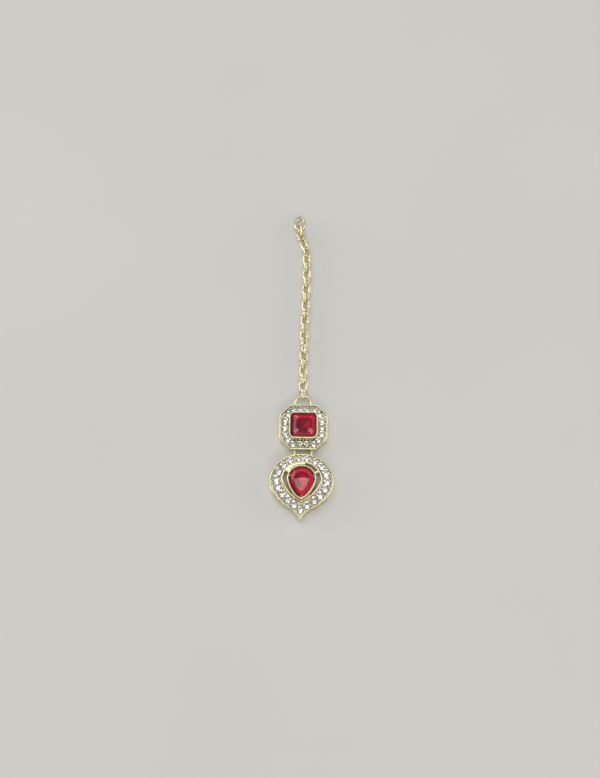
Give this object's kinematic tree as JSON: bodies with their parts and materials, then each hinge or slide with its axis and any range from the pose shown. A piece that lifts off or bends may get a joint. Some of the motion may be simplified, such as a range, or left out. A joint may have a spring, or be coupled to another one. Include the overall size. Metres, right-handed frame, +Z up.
{
  "type": "maang tikka",
  "caption": "Forehead jewel: oval cable chain with an oval end ring, a paved octagon around a red square stone, and a paved ogee-tipped pear around a red pear stone.",
  "frame": {"origin": "middle of the lying jewel's box, on the surface that it lies on", "axes": "+Y along the chain from the pear's tip to the end ring, +Z up from the surface through the stones, +X to the right seen from above with the ring at the far end"},
  "size_m": [0.0234, 0.123, 0.0063],
  "materials": {
    "gold": "polished pale gold plating",
    "crystal": "faceted, foil backed",
    "red_stone": "faceted, foil backed"
  },
  "bodies": {
    "root": {"end_ring": "gold", "chain_link_01": "gold", "chain_link_02": "gold", "chain_link_03": "gold", "chain_link_04": "gold", "chain_link_05": "gold", "chain_link_06": "gold", "chain_link_07": "gold", "chain_link_08": "gold", "chain_link_09": "gold", "chain_link_10": "gold", "chain_link_11": "gold", "chain_link_12": "gold", "chain_link_13": "gold", "chain_link_14": "gold", "chain_link_15": "gold", "chain_link_16": "gold", "chain_link_17": "gold", "chain_link_18": "gold", "chain_link_19": "gold", "chain_link_20": "gold", "chain_link_21": "gold", "chain_link_22": "gold", "chain_link_23": "gold", "octagon_frame": "gold", "octagon_pave": "crystal", "octagon_stone": "red_stone", "pear_frame": "gold", "pear_pave": "crystal", "pear_stone": "red_stone"}
  },
  "joints": []
}
